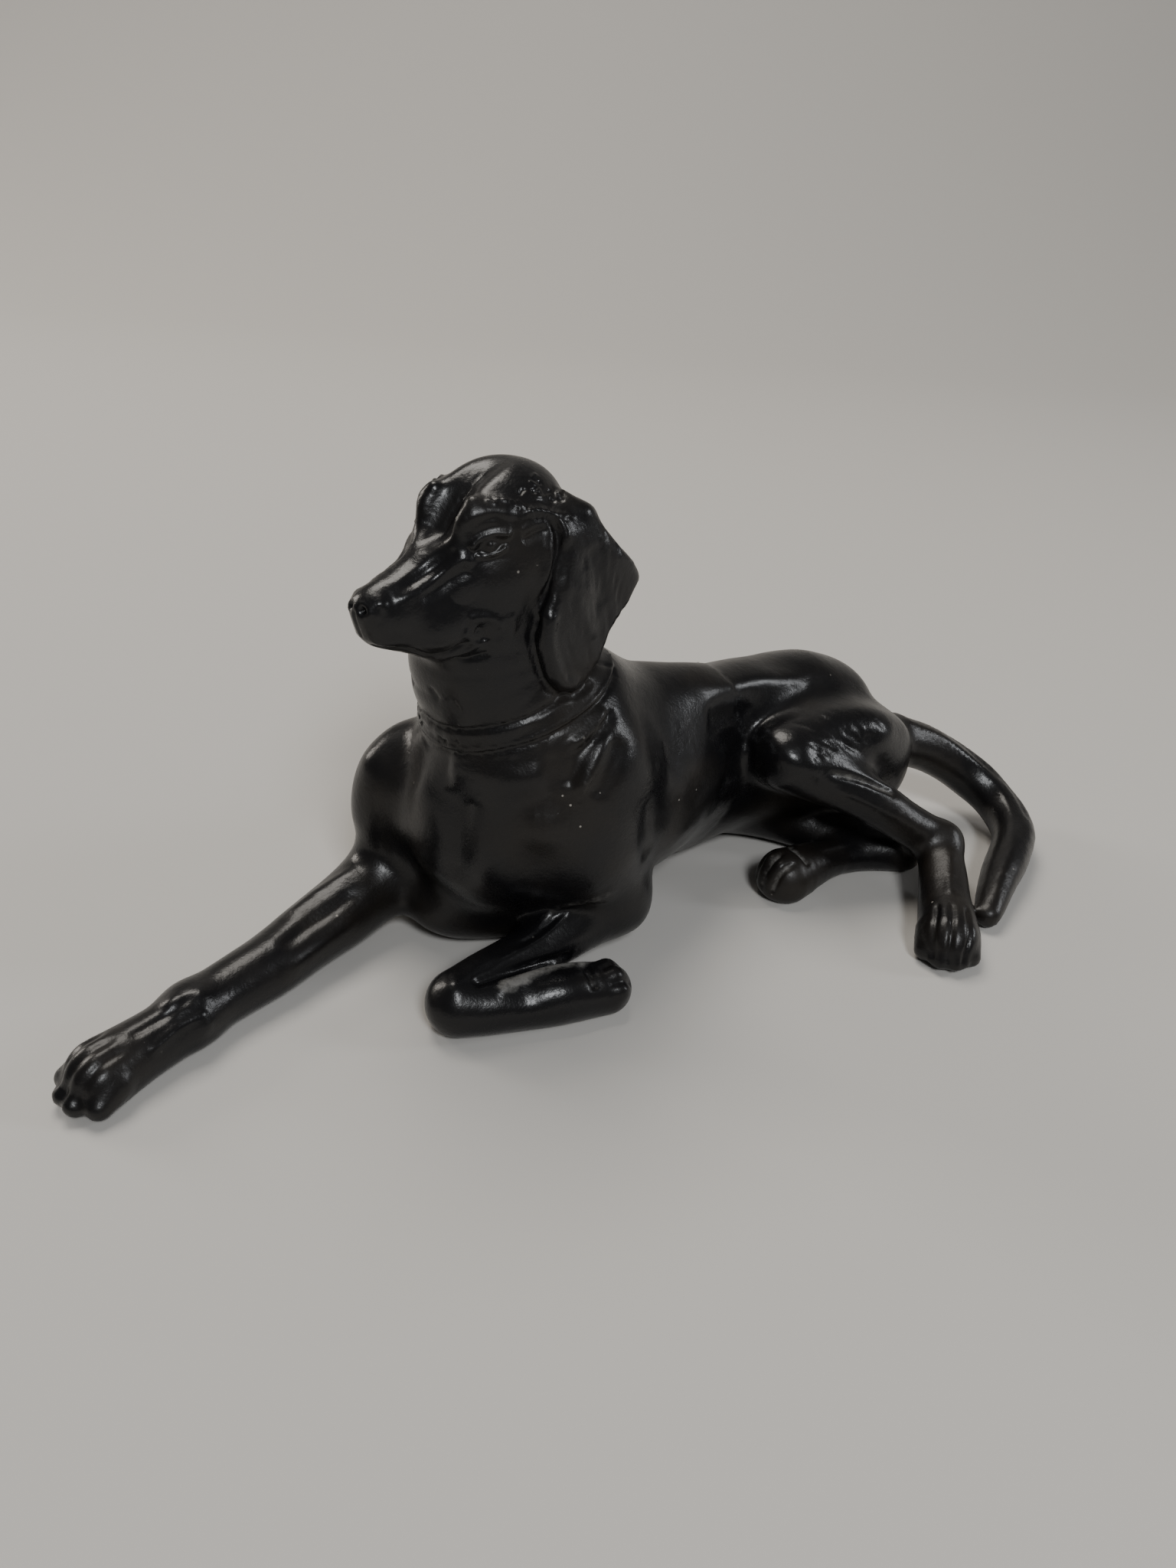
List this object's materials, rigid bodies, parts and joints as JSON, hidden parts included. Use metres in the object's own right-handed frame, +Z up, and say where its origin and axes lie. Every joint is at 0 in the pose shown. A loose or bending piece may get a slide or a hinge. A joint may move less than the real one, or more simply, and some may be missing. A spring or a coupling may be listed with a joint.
{
  "type": "cast iron dog statue",
  "caption": "Reclining hound cast in one piece of iron, head raised, one foreleg stretched out and the tail curled round.",
  "frame": {"origin": "on the table plane, at the middle of the statue's box", "axes": "+Z up, the head towards -X, the tail towards +X, the dog's left side towards -Y"},
  "size_m": [0.294, 0.118, 0.1318],
  "materials": {
    "black_iron": "cast iron under a thin satin to gloss black paint, rubbed grey on the ridges"
  },
  "bodies": {
    "root": {"dog": "black_iron"}
  },
  "joints": []
}
